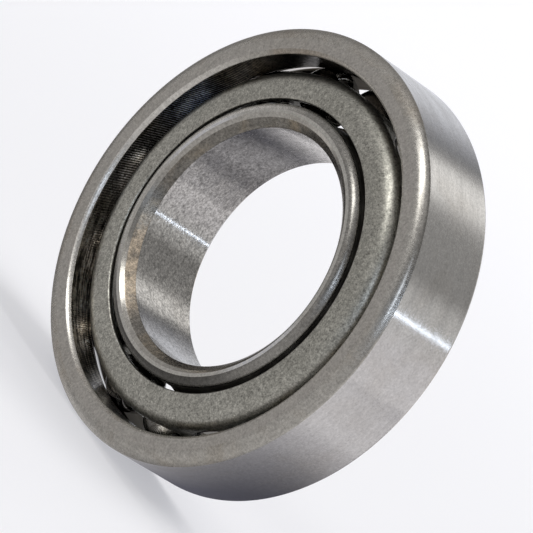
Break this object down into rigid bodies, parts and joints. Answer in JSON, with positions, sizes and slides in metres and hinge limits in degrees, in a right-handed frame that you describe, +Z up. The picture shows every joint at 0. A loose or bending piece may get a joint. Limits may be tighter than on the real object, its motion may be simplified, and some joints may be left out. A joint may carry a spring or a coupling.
{
  "type": "angular contact ball bearing",
  "caption": "Open single-row angular contact ball bearing: outer ring, inner ring, pressed-steel window cage and steel balls.",
  "frame": {"origin": "centre of the bearing, on its axis and halfway between the ring faces", "axes": "+Y along the bearing axis, from the front side (cage flange, high outer shoulder) to the back side; +Z up, the bearing stands on its rim"},
  "size_m": [0.055, 0.013, 0.055],
  "materials": {
    "outer_ring_steel": "hardened bearing steel, ground outside diameter and faces, thin oil film",
    "inner_ring_steel": "hardened bearing steel, ground bore and faces",
    "cage_steel": "pressed sheet steel, matt, phosphated grey",
    "ball_steel": "hardened chrome steel, lapped mirror finish"
  },
  "bodies": {
    "outer_ring": {"outer_ring": "outer_ring_steel"},
    "inner_ring": {"inner_ring": "inner_ring_steel"},
    "cage": {"cage": "cage_steel"},
    "ball_01": {"ball_01": "ball_steel"},
    "ball_02": {"ball_02": "ball_steel"},
    "ball_03": {"ball_03": "ball_steel"},
    "ball_04": {"ball_04": "ball_steel"},
    "ball_05": {"ball_05": "ball_steel"},
    "ball_06": {"ball_06": "ball_steel"},
    "ball_07": {"ball_07": "ball_steel"},
    "ball_08": {"ball_08": "ball_steel"},
    "ball_09": {"ball_09": "ball_steel"},
    "ball_10": {"ball_10": "ball_steel"},
    "ball_11": {"ball_11": "ball_steel"},
    "ball_12": {"ball_12": "ball_steel"},
    "ball_13": {"ball_13": "ball_steel"},
    "ball_14": {"ball_14": "ball_steel"},
    "ball_15": {"ball_15": "ball_steel"}
  },
  "joints": [
    {"name": "inner_ring_spin", "type": "hinge", "parent": "outer_ring", "child": "inner_ring", "pos_m": [0, 0, 0], "axis": [0, 1, 0], "continuous": true},
    {"name": "cage_spin", "type": "hinge", "parent": "outer_ring", "child": "cage", "pos_m": [0, 0, 0], "axis": [0, 1, 0], "continuous": true},
    {"name": "ball_01_spin", "type": "hinge", "parent": "cage", "child": "ball_01", "pos_m": [0.02125, 0, 0.00019], "axis": [0.4226, 0.9063, 0.0037], "continuous": true},
    {"name": "ball_02_spin", "type": "hinge", "parent": "cage", "child": "ball_02", "pos_m": [0.01934, 0, 0.00881], "axis": [0.3846, 0.9063, 0.1753], "continuous": true},
    {"name": "ball_03_spin", "type": "hinge", "parent": "cage", "child": "ball_03", "pos_m": [0.01408, 0, 0.01592], "axis": [0.28, 0.9063, 0.3165], "continuous": true},
    {"name": "ball_04_spin", "type": "hinge", "parent": "cage", "child": "ball_04", "pos_m": [0.00639, 0, 0.02027], "axis": [0.1271, 0.9063, 0.4031], "continuous": true},
    {"name": "ball_05_spin", "type": "hinge", "parent": "cage", "child": "ball_05", "pos_m": [-0.00241, 0, 0.02111], "axis": [-0.0478, 0.9063, 0.4199], "continuous": true},
    {"name": "ball_06_spin", "type": "hinge", "parent": "cage", "child": "ball_06", "pos_m": [-0.01079, 0, 0.01831], "axis": [-0.2145, 0.9063, 0.3641], "continuous": true},
    {"name": "ball_07_spin", "type": "hinge", "parent": "cage", "child": "ball_07", "pos_m": [-0.0173, 0, 0.01234], "axis": [-0.3441, 0.9063, 0.2454], "continuous": true},
    {"name": "ball_08_spin", "type": "hinge", "parent": "cage", "child": "ball_08", "pos_m": [-0.02082, 0, 0.00424], "axis": [-0.4141, 0.9063, 0.0843], "continuous": true},
    {"name": "ball_09_spin", "type": "hinge", "parent": "cage", "child": "ball_09", "pos_m": [-0.02075, 0, -0.0046], "axis": [-0.4126, 0.9063, -0.0915], "continuous": true},
    {"name": "ball_10_spin", "type": "hinge", "parent": "cage", "child": "ball_10", "pos_m": [-0.01708, 0, -0.01264], "axis": [-0.3397, 0.9063, -0.2514], "continuous": true},
    {"name": "ball_11_spin", "type": "hinge", "parent": "cage", "child": "ball_11", "pos_m": [-0.01046, 0, -0.0185], "axis": [-0.2081, 0.9063, -0.3678], "continuous": true},
    {"name": "ball_12_spin", "type": "hinge", "parent": "cage", "child": "ball_12", "pos_m": [-0.00204, 0, -0.02115], "axis": [-0.0405, 0.9063, -0.4207], "continuous": true},
    {"name": "ball_13_spin", "type": "hinge", "parent": "cage", "child": "ball_13", "pos_m": [0.00674, 0, -0.02015], "axis": [0.1341, 0.9063, -0.4008], "continuous": true},
    {"name": "ball_14_spin", "type": "hinge", "parent": "cage", "child": "ball_14", "pos_m": [0.01436, 0, -0.01567], "axis": [0.2855, 0.9063, -0.3116], "continuous": true},
    {"name": "ball_15_spin", "type": "hinge", "parent": "cage", "child": "ball_15", "pos_m": [0.01949, 0, -0.00847], "axis": [0.3876, 0.9063, -0.1685], "continuous": true}
  ],
  "couplings": [
    {"joint": "cage_spin", "follows": "inner_ring_spin", "ratio": 0.42383},
    {"joint": "ball_01_spin", "follows": "inner_ring_spin", "ratio": -2.9055},
    {"joint": "ball_02_spin", "follows": "inner_ring_spin", "ratio": -2.9055},
    {"joint": "ball_03_spin", "follows": "inner_ring_spin", "ratio": -2.9055},
    {"joint": "ball_04_spin", "follows": "inner_ring_spin", "ratio": -2.9055},
    {"joint": "ball_05_spin", "follows": "inner_ring_spin", "ratio": -2.9055},
    {"joint": "ball_06_spin", "follows": "inner_ring_spin", "ratio": -2.9055},
    {"joint": "ball_07_spin", "follows": "inner_ring_spin", "ratio": -2.9055},
    {"joint": "ball_08_spin", "follows": "inner_ring_spin", "ratio": -2.9055},
    {"joint": "ball_09_spin", "follows": "inner_ring_spin", "ratio": -2.9055},
    {"joint": "ball_10_spin", "follows": "inner_ring_spin", "ratio": -2.9055},
    {"joint": "ball_11_spin", "follows": "inner_ring_spin", "ratio": -2.9055},
    {"joint": "ball_12_spin", "follows": "inner_ring_spin", "ratio": -2.9055},
    {"joint": "ball_13_spin", "follows": "inner_ring_spin", "ratio": -2.9055},
    {"joint": "ball_14_spin", "follows": "inner_ring_spin", "ratio": -2.9055},
    {"joint": "ball_15_spin", "follows": "inner_ring_spin", "ratio": -2.9055}
  ]
}
